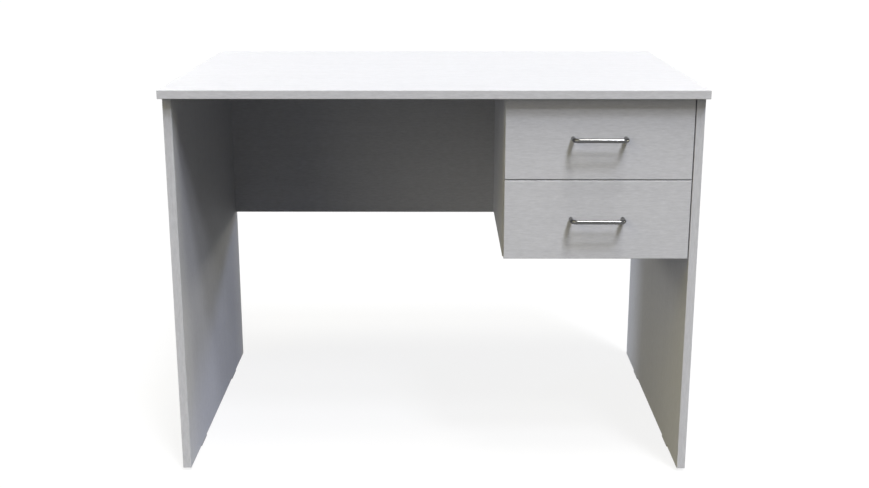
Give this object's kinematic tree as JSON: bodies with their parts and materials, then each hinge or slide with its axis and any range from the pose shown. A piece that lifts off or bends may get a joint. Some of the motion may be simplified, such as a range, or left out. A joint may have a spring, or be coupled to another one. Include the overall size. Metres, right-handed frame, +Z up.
{
  "type": "writing desk with drawers",
  "caption": "Panel writing desk with an overhanging top, full side panels, a half-height modesty panel and a hung pedestal of drawers on roller runners with bow handles.",
  "frame": {"origin": "on the floor, under the middle of the outer box", "axes": "+X to the sitter's right, where the drawers are; +Y to the back; +Z up"},
  "size_m": [0.994, 0.689, 0.75],
  "materials": {
    "top_board": "pale grey wood-grain laminate, satin",
    "upright_board": "pale grey wood-grain laminate, grain upright",
    "cross_board": "pale grey wood-grain laminate, grain across",
    "front_board": "pale grey wood-grain laminate, grain across",
    "drawer_board": "white foil-wrapped board",
    "hardboard": "white-faced hardboard",
    "beech": "fluted beech",
    "handle_metal": "bright chrome",
    "coated_steel": "off-white epoxy-coated sheet steel",
    "nylon": "natural nylon",
    "zinc": "bright zinc",
    "foot_plastic": "moulded grey plastic",
    "cover_plastic": "grey plastic"
  },
  "bodies": {
    "desk_frame": {"desk_top": "top_board", "left_side_panel": "upright_board", "right_side_panel": "upright_board", "pedestal_side": "upright_board", "modesty_panel": "cross_board", "pedestal_base": "cross_board", "pedestal_back": "cross_board", "side_cam_locks": "zinc", "side_cam_bolts": "zinc", "side_cam_covers": "cover_plastic", "side_dowels": "beech", "modesty_cam_locks": "zinc", "modesty_cam_bolts": "zinc", "modesty_cam_covers": "cover_plastic", "modesty_dowels": "beech", "pedestal_cam_locks": "zinc", "pedestal_cam_bolts": "zinc", "pedestal_dowels": "beech", "front_left_foot": "foot_plastic", "front_right_foot": "foot_plastic", "rear_left_foot": "foot_plastic", "rear_right_foot": "foot_plastic", "upper_left_cabinet_runner": "coated_steel", "upper_right_cabinet_runner": "coated_steel", "lower_left_cabinet_runner": "coated_steel", "lower_right_cabinet_runner": "coated_steel"},
    "upper_drawer": {"upper_drawer_front": "front_board", "upper_drawer_left_side": "drawer_board", "upper_drawer_right_side": "drawer_board", "upper_drawer_back": "drawer_board", "upper_drawer_base": "hardboard", "upper_handle": "handle_metal", "upper_handle_screws": "zinc", "upper_drawer_cam_locks": "zinc", "upper_drawer_cam_bolts": "zinc", "upper_left_drawer_runner": "coated_steel", "upper_right_drawer_runner": "coated_steel"},
    "roller_upper_left_front": {"upper_left_front_roller": "nylon"},
    "roller_upper_left_rear": {"upper_left_rear_roller": "nylon"},
    "roller_upper_right_front": {"upper_right_front_roller": "nylon"},
    "roller_upper_right_rear": {"upper_right_rear_roller": "nylon"},
    "lower_drawer": {"lower_drawer_front": "front_board", "lower_drawer_left_side": "drawer_board", "lower_drawer_right_side": "drawer_board", "lower_drawer_back": "drawer_board", "lower_drawer_base": "hardboard", "lower_handle": "handle_metal", "lower_handle_screws": "zinc", "lower_drawer_cam_locks": "zinc", "lower_drawer_cam_bolts": "zinc", "lower_left_drawer_runner": "coated_steel", "lower_right_drawer_runner": "coated_steel"},
    "roller_lower_left_front": {"lower_left_front_roller": "nylon"},
    "roller_lower_left_rear": {"lower_left_rear_roller": "nylon"},
    "roller_lower_right_front": {"lower_right_front_roller": "nylon"},
    "roller_lower_right_rear": {"lower_right_rear_roller": "nylon"}
  },
  "joints": [
    {"name": "upper_drawer_slide", "type": "slide", "parent": "desk_frame", "child": "upper_drawer", "axis": [0, -1, 0], "range_m": [0, 0.26]},
    {"name": "upper_left_front_roller_spin", "type": "hinge", "parent": "desk_frame", "child": "roller_upper_left_front", "pos_m": [0.1457, -0.2815, 0.6205], "axis": [1, 0, 0], "range_deg": [0, 1419]},
    {"name": "upper_left_rear_roller_spin", "type": "hinge", "parent": "upper_drawer", "child": "roller_upper_left_rear", "pos_m": [0.1558, 0.0425, 0.618], "axis": [1, 0, 0], "range_deg": [0, 1419]},
    {"name": "upper_right_front_roller_spin", "type": "hinge", "parent": "desk_frame", "child": "roller_upper_right_front", "pos_m": [0.4748, -0.2815, 0.6205], "axis": [1, 0, 0], "range_deg": [0, 1419]},
    {"name": "upper_right_rear_roller_spin", "type": "hinge", "parent": "upper_drawer", "child": "roller_upper_right_rear", "pos_m": [0.4647, 0.0425, 0.618], "axis": [1, 0, 0], "range_deg": [0, 1419]},
    {"name": "lower_drawer_slide", "type": "slide", "parent": "desk_frame", "child": "lower_drawer", "axis": [0, -1, 0], "range_m": [0, 0.26]},
    {"name": "lower_left_front_roller_spin", "type": "hinge", "parent": "desk_frame", "child": "roller_lower_left_front", "pos_m": [0.1457, -0.2815, 0.4695], "axis": [1, 0, 0], "range_deg": [0, 1419]},
    {"name": "lower_left_rear_roller_spin", "type": "hinge", "parent": "lower_drawer", "child": "roller_lower_left_rear", "pos_m": [0.1558, 0.0425, 0.467], "axis": [1, 0, 0], "range_deg": [0, 1419]},
    {"name": "lower_right_front_roller_spin", "type": "hinge", "parent": "desk_frame", "child": "roller_lower_right_front", "pos_m": [0.4748, -0.2815, 0.4695], "axis": [1, 0, 0], "range_deg": [0, 1419]},
    {"name": "lower_right_rear_roller_spin", "type": "hinge", "parent": "lower_drawer", "child": "roller_lower_right_rear", "pos_m": [0.4647, 0.0425, 0.467], "axis": [1, 0, 0], "range_deg": [0, 1419]}
  ],
  "couplings": [
    {"joint": "upper_left_front_roller_spin", "follows": "upper_drawer_slide", "rad_per_m": 95.238},
    {"joint": "upper_left_rear_roller_spin", "follows": "upper_drawer_slide", "rad_per_m": 95.238},
    {"joint": "upper_right_front_roller_spin", "follows": "upper_drawer_slide", "rad_per_m": 95.238},
    {"joint": "upper_right_rear_roller_spin", "follows": "upper_drawer_slide", "rad_per_m": 95.238},
    {"joint": "lower_left_front_roller_spin", "follows": "lower_drawer_slide", "rad_per_m": 95.238},
    {"joint": "lower_left_rear_roller_spin", "follows": "lower_drawer_slide", "rad_per_m": 95.238},
    {"joint": "lower_right_front_roller_spin", "follows": "lower_drawer_slide", "rad_per_m": 95.238},
    {"joint": "lower_right_rear_roller_spin", "follows": "lower_drawer_slide", "rad_per_m": 95.238}
  ]
}
